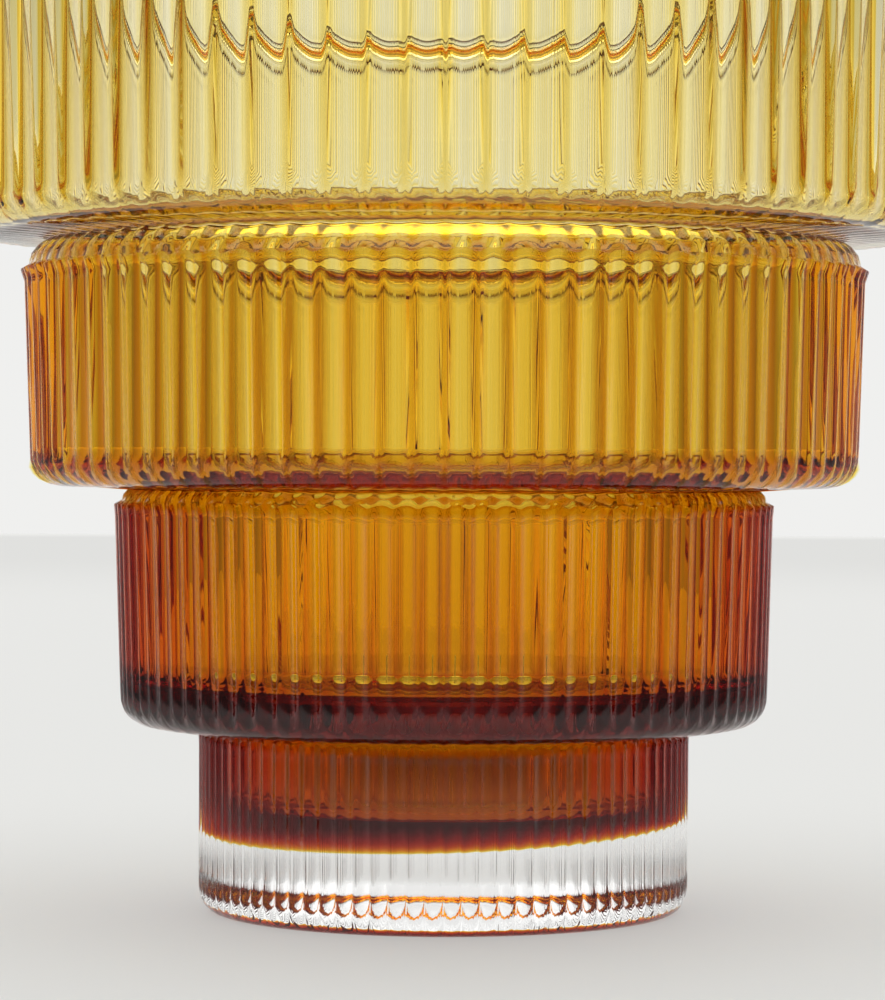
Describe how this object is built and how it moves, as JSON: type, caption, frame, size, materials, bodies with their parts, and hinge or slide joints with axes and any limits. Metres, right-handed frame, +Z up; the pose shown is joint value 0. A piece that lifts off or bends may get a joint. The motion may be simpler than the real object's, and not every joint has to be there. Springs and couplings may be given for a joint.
{
  "type": "tealight holder",
  "caption": "Tealight holder of blown glass in stepped fluted tiers that widen upwards, clear over amber, with a tealight standing in the well of its foot.",
  "frame": {"origin": "middle of the foot, on the surface the holder stands on", "axes": "+Z straight up along the axis of the tiers; X and Y lie in the foot plane"},
  "size_m": [0.1424, 0.1424, 0.1403],
  "materials": {
    "clear_glass": "clear, fire polished, fluted outside",
    "amber_glass": "transparent amber, smooth inside",
    "cup_aluminium": "thin pressed sheet, satin",
    "wax": "paraffin wax, translucent, faintly mottled",
    "cotton_wick": "braided cotton, waxed",
    "tab_steel": "thin tinned sheet"
  },
  "bodies": {
    "holder": {"clear_casing": "clear_glass", "amber_liner": "amber_glass"},
    "tealight": {"tealight_cup": "cup_aluminium", "tealight_wax": "wax", "tealight_wick": "cotton_wick", "wick_tab": "tab_steel"}
  },
  "joints": [
    {"name": "tealight_lift", "type": "slide", "parent": "holder", "child": "tealight", "axis": [0, 0, 1], "range_m": [0, 0.16]}
  ]
}
